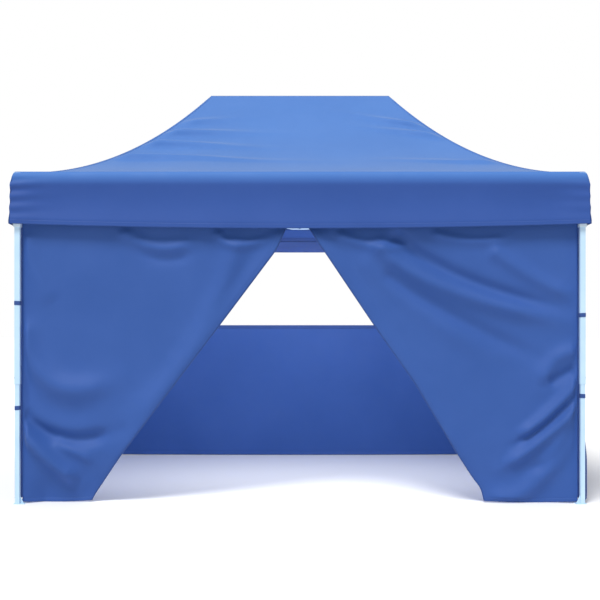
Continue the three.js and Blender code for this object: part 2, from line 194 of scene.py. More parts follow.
def shell_data(points, thick, flip=False, kept=None):
    """A closed thin shell on a grid of points, whose outer side is the grid; kept masks its cells."""
    rows, cols = points.shape[:2]
    if kept is None:
        kept = np.ones((rows - 1, cols - 1), bool)
    n = grid_normals(points) * (-1 if flip else 1)
    verts = np.concatenate([points.reshape(-1, 3), (points - n * thick).reshape(-1, 3)])
    size = rows * cols
    r, c = np.nonzero(kept)
    a = r * cols + c
    quads = [np.stack([a, a + 1, a + cols + 1, a + cols], axis=1)]
    quads.append(quads[0][:, ::-1] + size)
    around = np.pad(kept, 1)
    neighbours = ((-1, 0, 0, 1), (1, 0, cols + 1, cols), (0, -1, cols, 0), (0, 1, 1, cols + 1))
    for dr, dc, first, second in neighbours:
        rr, cc = np.nonzero(kept & ~around[1 + dr:rows + dr, 1 + dc:cols + dc])
        e = rr * cols + cc
        quads.append(np.stack([e + second, e + first, e + first + size, e + second + size], axis=1))
    faces = np.concatenate(quads)
    if flip:
        faces = faces[:, ::-1]
    used, faces = np.unique(faces, return_inverse=True)
    return verts[used], faces.reshape(-1, 4).tolist()


# a stitch is a bar with corners 0 to 3 below and 4 to 7 above
BAR_FACES = ((4, 5, 6, 7), (3, 2, 1, 0), (0, 1, 5, 4), (1, 2, 6, 5), (2, 3, 7, 6), (3, 0, 4, 7))


class Surface:
    """A sheet as a function of two coordinates, with strips and stitches laid on it."""

    def __init__(self, place, flip=False):
        self.place = place
        self.flip = flip
        self.hand = -1 if flip else 1

    def at(self, a, b):
        return np.stack(np.broadcast_arrays(*self.place(a, b)), axis=-1)

    def grid(self, a, b, lift=0.0):
        points = self.at(a[None, :] + 0 * b[:, None], b[:, None] + 0 * a[None, :])
        if lift:
            points = points + grid_normals(points) * (self.hand * lift)
        return points

    def shell(self, name, a, b, material, lift=0.0, thick=THICK_CLOTH, kept=None):
        verts, faces = shell_data(self.grid(a, b, lift), thick, self.flip, kept)
        return mesh_object(name, verts, faces, material)

    def along(self, line, length, wanted, step=1e-3):
        """Points and outward normals at wanted lengths along a line of (a, b) points."""
        a = np.interp(wanted, length, line[:, 0])
        b = np.interp(wanted, length, line[:, 1])
        p = self.at(a, b)
        n = np.cross(self.at(a + step, b) - p, self.at(a, b + step) - p)
        return p, n / np.linalg.norm(n, axis=1, keepdims=True) * self.hand

    def stitches(self, name, lines, material, pitch, dash, lift):
        """Rows of thread dashes along lines of (a, b) points, each a tiny flat bar."""
        verts, faces = [], []
        for line in lines:
            gaps = np.linalg.norm(np.diff(self.at(line[:, 0], line[:, 1]), axis=0), axis=1)
            length = np.concatenate([[0], np.cumsum(gaps)])
            starts = np.arange(pitch / 2, length[-1] - dash, pitch)
            first, normal = self.along(line, length, starts)
            last, _ = self.along(line, length, starts + dash)
            way = last - first
            way = way / np.linalg.norm(way, axis=1, keepdims=True)
            side = np.cross(normal, way) * THREAD_WIDTH / 2
            ring = [first + side, first - side, last - side, last + side]
            bars = [p - normal * THREAD_SUNK for p in ring] + [p + normal * lift for p in ring]
            base = len(verts)
            verts.extend(np.stack(bars, axis=1).reshape(-1, 3).tolist())
            for corner in range(base, len(verts), 8):
                faces += [tuple(corner + k for k in face) for face in BAR_FACES]
        return mesh_object(name, verts, faces, material, shade_smooth=False)


# ---- materials ----------------------------------------------------------------------------------
def new_material(name):
    material = bpy.data.materials.new(name)
    material.use_nodes = True
    nodes = material.node_tree.nodes
    shader = nodes["Principled BSDF"]
    return material, nodes, material.node_tree.links, shader


def mixed_colour(nodes, links, factor, low, high):
    ramp = nodes.new("ShaderNodeValToRGB")
    ramp.color_ramp.elements[0].color = (*low, 1)
    ramp.color_ramp.elements[1].color = (*high, 1)
    ramp.color_ramp.elements[0].position = 0.3
    ramp.color_ramp.elements[1].position = 0.7
    links.new(factor, ramp.inputs["Fac"])
    return ramp.outputs["Color"]


def noise_node(nodes, links, vector, scale, detail=3.0, roughness=0.5):
    node = nodes.new("ShaderNodeTexNoise")
    node.inputs["Scale"].default_value = scale
    node.inputs["Detail"].default_value = detail
    node.inputs["Roughness"].default_value = roughness
    links.new(vector, node.inputs["Vector"])
    return node.outputs["Fac"]


def wave_node(nodes, links, vector, scale, direction):
    node = nodes.new("ShaderNodeTexWave")
    node.bands_direction = direction
    node.inputs["Scale"].default_value = scale
    node.inputs["Distortion"].default_value = 0.6
    node.inputs["Detail"].default_value = 1.0
    node.inputs["Detail Scale"].default_value = 2.0
    links.new(vector, node.inputs["Vector"])
    return node.outputs["Fac"]


def math_node(nodes, links, operation, first, second):
    node = nodes.new("ShaderNodeMath")
    node.operation = operation
    for socket, value in zip(node.inputs, (first, second)):
        if isinstance(value, (int, float)):
            socket.default_value = value
        else:
            links.new(value, socket)
    return node.outputs[0]


def cloth_material(name, low, high, turn=(0, 0, 0), *, thread=150.0, crease, sheen=0.09):
    """Coated polyester: plain weave, crease marks from packing, uneven dye and a faint sheen."""
    material, nodes, links, shader = new_material(name)
    coord = nodes.new("ShaderNodeTexCoord")
    mapping = nodes.new("ShaderNodeMapping")
    mapping.inputs["Rotation"].default_value = turn
    links.new(coord.outputs["Object"], mapping.inputs["Vector"])
    vector = mapping.outputs["Vector"]

    dye = noise_node(nodes, links, vector, 1.7, 4.0, 0.55)
    links.new(mixed_colour(nodes, links, dye, low, high), shader.inputs["Base Color"])
    shader.inputs["Sheen Weight"].default_value = sheen
    shader.inputs["Sheen Roughness"].default_value = 0.45
    shader.inputs["Sheen Tint"].default_value = (0.75, 0.85, 1.0, 1.0)
    shader.inputs["Specular IOR Level"].default_value = 0.35

    rough = nodes.new("ShaderNodeMapRange")
    rough.inputs["To Min"].default_value = 0.58
    rough.inputs["To Max"].default_value = 0.74
    links.new(noise_node(nodes, links, vector, 9.0), rough.inputs["Value"])
    links.new(rough.outputs["Result"], shader.inputs["Roughness"])

    weave = math_node(nodes, links, "MULTIPLY", wave_node(nodes, links, vector, thread, "X"),
                      wave_node(nodes, links, vector, thread, "Z"))
    fine = nodes.new("ShaderNodeBump")
    fine.inputs["Strength"].default_value = 0.35
    fine.inputs["Distance"].default_value = 0.0004
    links.new(weave, fine.inputs["Height"])
    broad = nodes.new("ShaderNodeBump")
    broad.inputs["Strength"].default_value = 0.5
    broad.inputs["Distance"].default_value = crease
    links.new(noise_node(nodes, links, vector, 3.1, 2.0, 0.35), broad.inputs["Height"])
    links.new(fine.outputs["Normal"], broad.inputs["Normal"])
    links.new(broad.outputs["Normal"], shader.inputs["Normal"])
    return material


def paint_material(name, low, high, roughness=(0.32, 0.46), metallic=0.0):
    """Powder coat: fine orange peel, faint handling marks."""
    material, nodes, links, shader = new_material(name)
    coord = nodes.new("ShaderNodeTexCoord")
    vector = coord.outputs["Object"]
    tone = noise_node(nodes, links, vector, 6.0, 5.0, 0.6)
    links.new(mixed_colour(nodes, links, tone, low, high), shader.inputs["Base Color"])
    rough = nodes.new("ShaderNodeMapRange")
    rough.inputs["To Min"].default_value = roughness[0]
    rough.inputs["To Max"].default_value = roughness[1]
    links.new(noise_node(nodes, links, vector, 38.0, 4.0, 0.6), rough.inputs["Value"])
    links.new(rough.outputs["Result"], shader.inputs["Roughness"])
    shader.inputs["Metallic"].default_value = metallic
    peel = nodes.new("ShaderNodeBump")
    peel.inputs["Strength"].default_value = 0.25
    peel.inputs["Distance"].default_value = 0.0005
    links.new(noise_node(nodes, links, vector, 420.0, 2.0), peel.inputs["Height"])
    links.new(peel.outputs["Normal"], shader.inputs["Normal"])
    return material


def film_material():
    """Clear window film with a slight ripple, almost invisible."""
    material, nodes, links, shader = new_material("window_film")
    shader.inputs["Base Color"].default_value = (0.97, 0.985, 1.0, 1.0)
    shader.inputs["Alpha"].default_value = 0.007
    shader.inputs["IOR"].default_value = 1.35
    coord = nodes.new("ShaderNodeTexCoord")
    rough = nodes.new("ShaderNodeMapRange")
    rough.inputs["To Min"].default_value = 0.06
    rough.inputs["To Max"].default_value = 0.16
    links.new(noise_node(nodes, links, coord.outputs["Object"], 7.0), rough.inputs["Value"])
    links.new(rough.outputs["Result"], shader.inputs["Roughness"])
    ripple = nodes.new("ShaderNodeBump")
    ripple.inputs["Strength"].default_value = 0.3
    ripple.inputs["Distance"].default_value = 0.01
    links.new(noise_node(nodes, links, coord.outputs["Object"], 2.4, 2.0), ripple.inputs["Height"])
    links.new(ripple.outputs["Normal"], shader.inputs["Normal"])
    return material


def paint_lit_top(material, light, from_z, to_z):
    """Painted light: the material's colour blended to a lighter colour between two heights, as if lit from
    above.
    """
    nodes, links = material.node_tree.nodes, material.node_tree.links
    shader = nodes["Principled BSDF"]
    dyed = shader.inputs["Base Color"].links[0].from_socket
    split = nodes.new("ShaderNodeSeparateXYZ")
    links.new(nodes["Texture Coordinate"].outputs["Object"], split.inputs["Vector"])
    height = nodes.new("ShaderNodeMapRange")
    height.interpolation_type = "SMOOTHSTEP"
    height.inputs["From Min"].default_value = from_z
    height.inputs["From Max"].default_value = to_z
    links.new(split.outputs["Z"], height.inputs["Value"])
    mix = nodes.new("ShaderNodeMixRGB")
    links.new(height.outputs["Result"], mix.inputs["Fac"])
    links.new(dyed, mix.inputs["Color1"])
    mix.inputs["Color2"].default_value = (*light, 1)
    links.new(mix.outputs["Color"], shader.inputs["Base Color"])
    return material


# the roof is the valance's cloth; its lighter blues are painted light, as if lit from above
ROOF_LIT_BLUES = (0.046, 0.158, 0.470), (0.056, 0.178, 0.510)
VALANCE_BLUES = (0.019, 0.069, 0.292), (0.024, 0.078, 0.317)
WALL_BLUES = (0.023, 0.081, 0.310), (0.030, 0.093, 0.340)
TAPE_BLUES = (0.022, 0.062, 0.230), (0.029, 0.076, 0.265)
# painted highlight: the lighter blue that the valance's top is blended to over the eave
EAVE_LIT_BLUE = (0.051, 0.168, 0.490)
ACROSS = (0, 0, QUARTER)

# roof cloth in painted lit blues, lighter than the valance of the same cloth
ROOF = cloth_material("roof_cloth_painted_lit", *ROOF_LIT_BLUES, crease=0.012, sheen=0.5)
VALANCE = cloth_material("valance_cloth", *VALANCE_BLUES, crease=0.012)
# painted highlight: the valance lightens towards its top edge as if lit over the eave
paint_lit_top(VALANCE, EAVE_LIT_BLUE, EAVE_Z - 0.11, EAVE_Z + 0.002)
WALL = cloth_material("wall_cloth", *WALL_BLUES, crease=0.02)
SIDE = cloth_material("side_wall_cloth", *WALL_BLUES, ACROSS, crease=0.02)
BINDING = cloth_material("binding_tape", *TAPE_BLUES, thread=90.0, crease=0.004)
THREAD = paint_material("thread", (0.045, 0.115, 0.38), (0.06, 0.14, 0.44), (0.6, 0.75))
STEEL = paint_material("powder_coat", (0.47, 0.67, 0.86), (0.53, 0.72, 0.88))
NYLON = paint_material("white_nylon", (0.62, 0.78, 0.90), (0.70, 0.83, 0.93), (0.45, 0.6))
GREY = paint_material("grey_nylon", (0.22, 0.24, 0.26), (0.28, 0.30, 0.32), (0.45, 0.6))
ZINC = paint_material("zinc_rivet", (0.45, 0.47, 0.50), (0.58, 0.60, 0.62), (0.28, 0.42), 0.9)
FILM = film_material()


# ---- riding bodies in place of CAD pieces -------------------------------------------------------
ALONG_X, ALONG_Y = (1, 0, 0), (0, 1, 0)
HOLDERS = {
    # side: body of the roof panel, body of the valance, squash axis, anchor, share kept
    "front": ("canopy_front", "leg_front_left", ALONG_X, (-CANOPY_X, 0, 0), KEEP_X),
    "back": ("canopy_back", "leg_back_left", ALONG_X, (-CANOPY_X, 0, 0), KEEP_X),
    "left": ("canopy_left", "leg_front_left", ALONG_Y, (0, -CANOPY_Y, 0), KEEP_Y),
    "right": ("canopy_right", "leg_front_right", ALONG_Y, (0, -CANOPY_Y, 0), KEEP_Y),
}


def hang(obj, body, stands_for=()):
    """Cloth that moves with a body, in place of the CAD pieces that it hides."""
    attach(obj, body)
    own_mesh(obj)
    if stands_for:
        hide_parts(*stands_for)
    return obj


def on_roof(obj, side, stands_for=()):
    body, _, axis, anchor, keep = HOLDERS[side]
    return hang(obj, body, stands_for)


def on_valance(obj, side, stands_for=()):
    _, body, axis, anchor, keep = HOLDERS[side]
    return hang(obj, body, stands_for)


# ---- roof ---------------------------------------------------------------------------------------
# the cloth turns down over the eave on a quarter ellipse, with a lap lying on the roof inside it
SHOULDER = 0.050
SHOULDER_ACROSS = 0.034
SHOULDER_DOWN = 0.085
ROOF_START = SHOULDER_ACROSS + 0.6 * SHOULDER


def turned(x, y, side):
    """From the frame of a panel that faces -Y to the frame of the panel on the given side."""
    if side == "front":
        return x, y
    if side == "back":
        return -x, -y
    if side == "right":
        return -y, x
    return y, -x


# pull folds: the hip that it springs from (-1 left, 1 right), its height up the slope from 0 to 1, the
# distance from the hip where it dies out, its rise, and how much higher up the slope it ends
PULLS = {
    "front": [(-1, 0.80, 0.50, 0.032, 0.04), (-1, 0.715, 0.95, 0.046, 0.01), (-1, 0.615, 1.10, 0.050, -0.03),
              (-1, 0.47, 1.70, 0.040, -0.05), (1, 0.76, 0.55, 0.044, 0.12), (1, 0.68, 0.60, 0.038, 0.10),
              (1, 0.40, 1.00, 0.024, 0.04)],
    "back": [(-1, 0.78, 0.60, 0.022, 0.06), (-1, 0.67, 0.90, 0.024, 0.03), (1, 0.72, 0.80, 0.024, 0.05),
             (1, 0.58, 1.00, 0.020, 0.02), (1, 0.44, 0.80, 0.014, 0.02)],
    "left": [(-1, 0.80, 0.35, 0.018, 0.04), (1, 0.72, 0.45, 0.020, 0.03), (-1, 0.58, 0.55, 0.016, 0.02)],
    "right": [(-1, 0.76, 0.35, 0.018, 0.04), (1, 0.66, 0.50, 0.020, 0.03), (1, 0.52, 0.50, 0.014, 0.02)],
}
PULL_WIDTH = 0.024
ROOF_RELIEF = 0.006


def roof_surface(side):
    """a runs along the eave from -1 to 1, u up the slope from 0 at the eave to 1 at the ridge."""
    long_side = side in LONG_SIDES
    eave = CANOPY_X if long_side else CANOPY_Y
    top = RIDGE_HALF if long_side else 0.002
    outside = CANOPY_Y if long_side else CANOPY_X
    inside = 0.0 if long_side else RIDGE_HALF
    rise = RIDGE_Z - EAVE_Z - 0.001
    seed = {"front": 3, "back": 5, "left": 7, "right": 11}[side]

    def place(a, u):
        half = eave + (top - eave) * u
        x = a * half
        y = -(outside + (inside - outside) * u)
        z = EAVE_Z + rise * u ** ROOF_CURVE
        from_hip = half - np.abs(x)
        folds = 0.0
        for hip, height, reach, lift, climb in PULLS[side]:
            from_this = half - hip * x
            strength = np.exp(-(from_this / (reach * 0.55)) ** 2) * smooth(from_this, 0.0, 0.16)
            centre = height + climb * from_this / reach
            folds = folds + lift * strength * np.exp(-((u - centre) / PULL_WIDTH) ** 2)
        inner = smooth(from_hip, 0.0, 0.25) * smooth(u, 0.0, 0.12) * smooth(1 - u, 0.0, 0.10)
        soft = ROOF_RELIEF * waves(x, y, seed) * inner
        slope = np.arctan2(rise * ROOF_CURVE * u ** (ROOF_CURVE - 1), outside - inside)
        push = folds + soft
        y = y - push * np.sin(slope)
        z = z + push * np.cos(slope)
        return (*turned(x, y, side), z)

    return Surface(place)


EDGE_STEPS = np.array([0.0, 0.004, 0.012, 0.016, 0.024])
HIP_BAND = np.array([0.9800, 0.9850, 0.9900, 0.9955, 0.9995])
HIP_ROWS = (0.006, 0.014)


def refined(count, length):
    """Evenly spread values from -1 to 1 with closer ones at the two ends, for seams."""
    ends = EDGE_STEPS / (length / 2)
    middle = np.linspace(-1 + ends[-1] * 1.6, 1 - ends[-1] * 1.6, count)
    return np.concatenate([-1 + ends, middle, (1 - ends)[::-1]])


def make_roof():
    for side in SIDES:
        surface = roof_surface(side)
        long_side = side in LONG_SIDES
        eave = CANOPY_X if long_side else CANOPY_Y
        top = RIDGE_HALF if long_side else 0.0
        depth = CANOPY_Y if long_side else CANOPY_X - RIDGE_HALF
        first = ROOF_START / depth
        a = refined(120 if long_side else 84, 2 * eave) * (1 - 1e-4)
        u = first + (1 - first) * np.linspace(0.0, 1.0, 130) ** 0.9
        panel = surface.shell(f"roof_{side}", a, u, ROOF)
        on_roof(panel, side, (f"canopy_{side}",))
        # hip seams: a lapped band and two rows of stitches at each end of the panel
        rows = []
        for hand, end in ((-1, "left"), (1, "right")):
            band = surface.shell(f"roof_{side}_hip_{end}", np.sort(hand * HIP_BAND),
                                 np.linspace(first, 0.985, 90), ROOF, lift=LAP_LIFT)
            on_roof(band, side)
            u_line = np.linspace(first, 0.97, 60)
            half = np.maximum(eave + (top - eave) * u_line, 0.02)
            rows += [np.stack([hand * (1 - inset / half), u_line], axis=1) for inset in HIP_ROWS]
        on_roof(surface.stitches(f"roof_{side}_stitches", rows, THREAD, **ROOF_SEWING), side)


make_roof()


# ---- valance ------------------------------------------------------------------------------------
VALANCE_DROP = EAVE_Z - VALANCE_Z
VALANCE_HEM = 0.030
VALANCE_ROWS = (0.007, 0.026)
SHOULDER_RUN = QUARTER * math.sqrt((SHOULDER_ACROSS ** 2 + SHOULDER_DOWN ** 2) / 2)
VALANCE_RUN = SHOULDER + SHOULDER_RUN + VALANCE_DROP - SHOULDER_DOWN
# how far its upper edge lies above the roof, and how far its hem sags and is drawn up
VALANCE_ABOVE = 0.0022
VALANCE_SAG = 0.034
VALANCE_SLACK = 0.010
VALANCE_RELIEF = 0.007
VALANCE_TUCK = 0.014
VALANCE_FLARE = 0.012
# its top corners drop by this much over this distance
CORNER_DROP = 0.024
CORNER_ROUND = 0.017
# reach and steepness of the pull folds at its ends, and their depth at the left and right end
PULL_REACH = 0.17
PULL_PITCH = 30
CORNER_PULLS = {"front": (0.0085, 0.0035), "back": (0.004, 0.006), "left": (0.004, 0.004),
                "right": (0.004, 0.005)}


def valance_surface(side):
    """a runs along the eave from -1 to 1, s is metres from the shoulder on the roof to the hem."""
    long_side = side in LONG_SIDES
    half = CANOPY_X if long_side else CANOPY_Y
    out = (CANOPY_Y if long_side else CANOPY_X) - 0.002
    seed = {"front": 21, "back": 23, "left": 25, "right": 27}[side]
    top = EAVE_Z + VALANCE_ABOVE

    def roof_rise(inset):
        return (RIDGE_Z - EAVE_Z) * (inset / out) ** ROOF_CURVE

    def place(a, s):
        turn = np.clip((s - SHOULDER) / SHOULDER_RUN, 0.0, 1.0) * QUARTER
        flat = np.clip(SHOULDER - s, 0.0, None)
        drop = np.clip(s - SHOULDER - SHOULDER_RUN, 0.0, None)
        inset = flat + SHOULDER_ACROSS * (1 - np.sin(turn))
        x = a * (half - inset * 0.98)
        from_end = half - np.abs(x)
        middle = 1 - a * a
        full = VALANCE_DROP - SHOULDER_DOWN
        v = drop / full
        round_corner = CORNER_DROP * np.exp(-(from_end / CORNER_ROUND) ** 2) * smooth(-v, -0.3, 0.0)
        z = top + roof_rise(inset) - SHOULDER_DOWN * (1 - np.cos(turn)) - round_corner
        z = z - drop * (1 - VALANCE_SLACK / full + VALANCE_SAG * middle / full)
        near_end = np.exp(-(from_end / PULL_REACH) ** 2)
        below = (EAVE_Z - z) / VALANCE_DROP
        pull = np.where(a < 0, *CORNER_PULLS[side]) * near_end
        pull = pull * np.sin(below * PULL_PITCH + 4 * from_end + 0.4)
        pull = pull * smooth(below, 0.05, 0.2) * (1 - 0.7 * below)
        soft = VALANCE_RELIEF * waves(x, 0.5 * z, seed, lowest=0.5, highest=2.2) * smooth(v, 0.0, 0.7)
        tuck = VALANCE_TUCK * np.sin(math.pi * np.clip(v / 0.85, 0, 1)) * smooth(from_end, 0.0, 0.25)
        flare = VALANCE_FLARE * v * v * near_end
        y = -(out - inset + pull + soft * smooth(from_end, 0.0, 0.3) - tuck + flare)
        return (*turned(x, y, side), z)

    return Surface(place, flip=True)


def make_valance():
    over = SHOULDER + SHOULDER_RUN
    s = np.concatenate([np.linspace(0.0, SHOULDER, 4), np.linspace(SHOULDER, over, 18)[1:],
                        np.linspace(over, VALANCE_RUN, 46)[1:]])
    s_hem = np.linspace(VALANCE_RUN - VALANCE_HEM, VALANCE_RUN - 0.0004, 6)
    a = np.concatenate([np.linspace(-1, -0.9, 30)[:-1], np.linspace(-0.9, 0.9, 100),
                        np.linspace(0.9, 1, 30)[1:]])
    rows = [level_line(-0.993, 0.993, 120, VALANCE_RUN - up) for up in VALANCE_ROWS]
    for side in SIDES:
        surface = valance_surface(side)
        sheet = surface.shell(f"valance_{side}", a, s, VALANCE)
        on_valance(sheet, side, (f"canopy_{side}",))
        hem = surface.shell(f"valance_{side}_hem", a, s_hem, VALANCE, lift=HEM_LIFT)
        on_valance(hem, side)
        sewing = surface.stitches(f"valance_{side}_stitches", rows, THREAD, **ROOF_SEWING)
        on_valance(sewing, side)


make_valance()


# ---- walls --------------------------------------------------------------------------------------
WALL_TOP = FLAP_HI[2]
WALL_BOTTOM = FLAP_LO[2]
FRONT_Y = (FLAP_LO[1] + FLAP_HI[1]) / 2
FLAP_OUT = -FLAP_LO[0]
# heights of the hems and of the stitch rows in them
HEM_ROWS = 5
WALL_HEM = 0.030
WALL_ROW = 0.026
FLAP_HEM = 0.026
FLAP_ROW = 0.022
# the valance holds the walls flat above the second height, and they are free below the first
FREE_BELOW = 1.90
FLAT_ABOVE = 1.985
SAG_FROM = 0.3
WALL_SAG = 0.006


def slack(z, ground=0.05):
    """0 at the ground and behind the valance, where a wall is held flat, and 1 between them."""
    return smooth(-z, -FLAT_ABOVE, -FREE_BELOW) * smooth(z, 0.0, ground)


def bottom_sag(across, half, z):
    """A wall's lower edge hangs a little lower in the middle than at the legs."""
    return WALL_SAG * (1 - (across / half) ** 2) * smooth(-z, -SAG_FROM, 0.0)


def hem_heights(height):
    return np.linspace(WALL_BOTTOM + 0.001, WALL_BOTTOM + height, HEM_ROWS)


# inner edges of the tied-back flaps, from the ground up, and the folds that the ties pull in them:
# three points of each fold's line, its half width and its rise
FLAPS = {
    "left": {
        "edge": [(-1.508, 0.000), (-1.475, 0.060), (-1.281, 0.341), (-0.579, 1.263), (-0.174, 1.802),
                 (-0.104, 1.958), (-0.020, 2.168)],
        "folds": [
            (((-1.97, 1.262), (-1.72, 0.900), (-1.28, 0.960)), 0.085, 0.036),
            (((-1.97, 1.050), (-1.80, 0.760), (-1.40, 0.700)), 0.100, -0.016),
            (((-1.97, 0.640), (-1.66, 0.495), (-1.30, 0.560)), 0.055, -0.042),
            (((-1.97, 0.590), (-1.78, 0.350), (-1.56, 0.185)), 0.060, 0.056),
            (((-1.72, 0.455), (-1.60, 0.390), (-1.46, 0.310)), 0.036, 0.013),
            (((-0.46, 1.860), (-0.80, 1.130), (-1.33, 0.540)), 0.075, 0.024),
            (((-1.24, 1.960), (-1.02, 1.850), (-0.72, 1.900)), 0.050, 0.022),
            (((-1.20, 1.900), (-1.00, 1.790), (-0.74, 1.830)), 0.050, -0.012),
            (((-0.58, 1.940), (-0.45, 1.862), (-0.17, 1.930)), 0.035, 0.018),
            (((-1.95, 1.900), (-1.86, 1.650), (-1.74, 1.470)), 0.070, 0.014),
        ],
    },
    "right": {
        "edge": [(1.325, 0.000), (1.296, 0.108), (1.235, 0.184), (1.118, 0.362), (0.823, 0.855),
                 (0.528, 1.274), (0.158, 1.823), (0.062, 1.967), (0.020, 2.168)],
        "folds": [
            (((0.58, 1.850), (1.07, 1.570), (1.97, 1.330)), 0.070, 0.040),
            (((0.70, 1.930), (1.20, 1.625), (1.95, 1.400)), 0.050, -0.026),
            (((0.66, 1.660), (1.10, 1.370), (1.78, 1.040)), 0.060, -0.022),
            (((0.50, 1.760), (0.86, 1.440), (1.36, 1.100)), 0.080, 0.014),
            (((1.40, 1.820), (1.68, 1.640), (1.97, 1.500)), 0.055, 0.024),
            (((1.97, 0.880), (1.73, 0.640), (1.54, 0.500)), 0.042, 0.032),
            (((1.97, 0.775), (1.74, 0.570), (1.50, 0.430)), 0.030, -0.016),
            (((1.97, 0.730), (1.69, 0.463), (1.42, 0.280)), 0.045, 0.036),
            (((1.97, 0.990), (1.86, 0.930), (1.76, 0.880)), 0.040, -0.020),
            (((1.97, 1.120), (1.80, 1.050), (1.72, 0.850)), 0.055, 0.022),
            (((1.93, 0.600), (1.62, 0.150), (1.30, 0.140)), 0.070, 0.030),
            (((1.97, 0.640), (1.80, 0.350), (1.62, 0.300)), 0.045, -0.014),
            (((0.30, 1.930), (0.58, 1.850), (0.84, 1.890)), 0.038, 0.016),
            (((0.98, 1.940), (1.24, 1.890), (1.50, 1.920)), 0.035, 0.014),
        ],
    },
}
# a fold's crest lies this share of its half width below its line, and is this much higher
FOLD_BELOW = 0.7
FOLD_GAIN = 1.3
FLAP_RELIEF = 0.006
# the edge curls forward over its last stretch and ends in a roll: radius, and angle it turns through
EDGE_BAND = 0.15
EDGE_CURL = 0.022
EDGE_ROLL = 0.006
ROLL_TURN = 4.2
ROLL_SCALE = 100
# the foot is tucked back below this height
TUCK_BELOW = 0.46
FLAP_TUCK = {"left": 0.065, "right": 0.030}
# places of the two upright stitch rows, as shares of the flap's width
FLAP_ROWS = (0.006, 0.020)


def flap_surface(side):
    """a is 0 at the leg and 1 at the free edge; past 1, times ROLL_SCALE, it is the roll's angle."""
    sign = -1 if side == "left" else 1
    edge = np.array(FLAPS[side]["edge"])
    seed = {"left": 41, "right": 43}[side]
    rise = np.linspace(0, edge[-1, 1], 400)
    line = np.interp(rise, edge[:, 1], edge[:, 0])
    soften = np.hanning(21)
    line = np.convolve(np.pad(line, 10, mode="edge"), soften / soften.sum(), mode="valid")

    def place(a, z):
        x_edge = np.interp(z, rise, line)
        x_out = sign * FLAP_OUT
        inside = np.minimum(a, 1.0)
        x = x_out + inside * (x_edge - x_out)
        lift = FLAP_RELIEF * waves(x, z, seed, lowest=0.5, highest=1.8)
        for points, width, height in FLAPS[side]["folds"]:
            lift = lift + FOLD_GAIN * ridge(x, z + FOLD_BELOW * width, points, width, height)
        lift = lift + EDGE_CURL * smooth(-np.abs(x - x_edge), -EDGE_BAND, 0.0) * smooth(z, 0.1, 0.5)
        hold = smooth(np.abs(x - x_out), 0.0, 0.05) * slack(z)
        tuck = FLAP_TUCK[side] * smooth(-z, -TUCK_BELOW, 0.0) * smooth(inside, 0.0, 0.35)
        y = FRONT_Y - lift * hold + tuck
        roll = np.clip(a - 1.0, 0.0, None) * ROLL_SCALE
        x = x - sign * EDGE_ROLL * np.sin(roll)
        y = y + EDGE_ROLL * (1 - np.cos(roll))
        sag = 0.010 * np.sin(math.pi * inside) * smooth(-z, -0.25, 0.0)
        return x, y + 0 * a, z - sag + 0 * a

    return Surface(place, flip=(side == "right"))


def make_flap(side):
    surface = flap_surface(side)

    def tie(obj, stands_for=()):
        return hang(obj, f"leg_front_{side}",
                    stands_for)

    columns = np.concatenate([np.linspace(0, 0.97, 130), np.linspace(0.975, 1.0, 8)])
    rows = np.linspace(WALL_BOTTOM, WALL_TOP, 190)
    flap = tie(surface.shell(f"flap_{side}", columns, rows, WALL), (f"door_flap_{side}",))
    round_roll = 1.0 + np.linspace(0, ROLL_TURN, 18) / ROLL_SCALE
    roll = tie(surface.shell(f"flap_{side}_rolled_edge", round_roll, rows, BINDING, lift=0.0008))
    hem = tie(surface.shell(f"flap_{side}_hem", np.linspace(0, 1.0, 110), hem_heights(FLAP_HEM), WALL,
                            lift=HEM_LIFT))
    upright = np.linspace(0.05, 1.93, 160)
    lines = [np.stack([np.full_like(upright, 1.0 - inset), upright], axis=1) for inset in FLAP_ROWS]
    lines.append(level_line(0.01, 0.99, 60, WALL_BOTTOM + FLAP_ROW))
    sewing = tie(surface.stitches(f"flap_{side}_stitches", lines, THREAD, **FLAP_SEWING))


make_flap("left")
make_flap("right")


BACK_Y = (BACK_LO[1] + BACK_HI[1]) / 2
BACK_HALF = BACK_HI[0]
PANE_HALF = PANE_HI[0]
# the film reaches this far past the opening, and the binding this far over it
FILM_LAP = 0.012
BINDING_WIDTH = 0.034
BINDING_CORNER = 0.045
BACK_RELIEF = 0.008
BACK_RIPPLE = 0.010


def back_surface():
    """x and z are the places in the wall's own plane."""
    def place(x, z):
        lift = BACK_RELIEF * waves(x, z, 51, lowest=0.25, highest=0.9)
        lift = lift + BACK_RIPPLE * np.sin(2.2 * x + 3.1 * z) * smooth(-z, -1.25, -0.9)
        hold = smooth(BACK_HALF - np.abs(x), 0.0, 0.10) * slack(z, 0.06)
        in_pane = smooth(-np.abs(z - (PANE_LO[2] + PANE_HI[2]) / 2), -0.55, -0.35)
        y = BACK_Y + lift * hold * (1 - 0.75 * in_pane)
        return x, y, z - bottom_sag(x, BACK_HALF, z)

    return Surface(place)


def along(loop, spacing):
    """The closed loop with extra points, so that it follows the cloth."""
    out = []
    for k in range(len(loop)):
        p, q = loop[k], loop[(k + 1) % len(loop)]
        steps = max(1, int(np.linalg.norm(q - p) / spacing))
        for i in range(steps):
            out.append(p + (q - p) * i / steps)
    return np.array(out)


def ring_shell(surface, name, inner, outer, material, lift, thick):
    """A flat band between two matching loops, laid on a surface."""
    profile = [(0.0, -thick), (0.03, lift), (0.12, lift + 0.0006), (0.5, lift + 0.0008),
               (0.88, lift + 0.0006), (0.97, lift), (1.0, -thick)]
    verts = []
    for share, rise in profile:
        p = inner + (outer - inner) * share
        point = surface.at(p[:, 0], p[:, 1])
        verts.append(point + np.array([0, -rise, 0]))
    return mesh_object(name, np.concatenate(verts), ring_faces(len(profile), len(inner)), material)


def stretches(*parts):
    """One run of values from several (low, high, count) stretches."""
    return np.unique(np.concatenate([np.linspace(*part) for part in parts]))


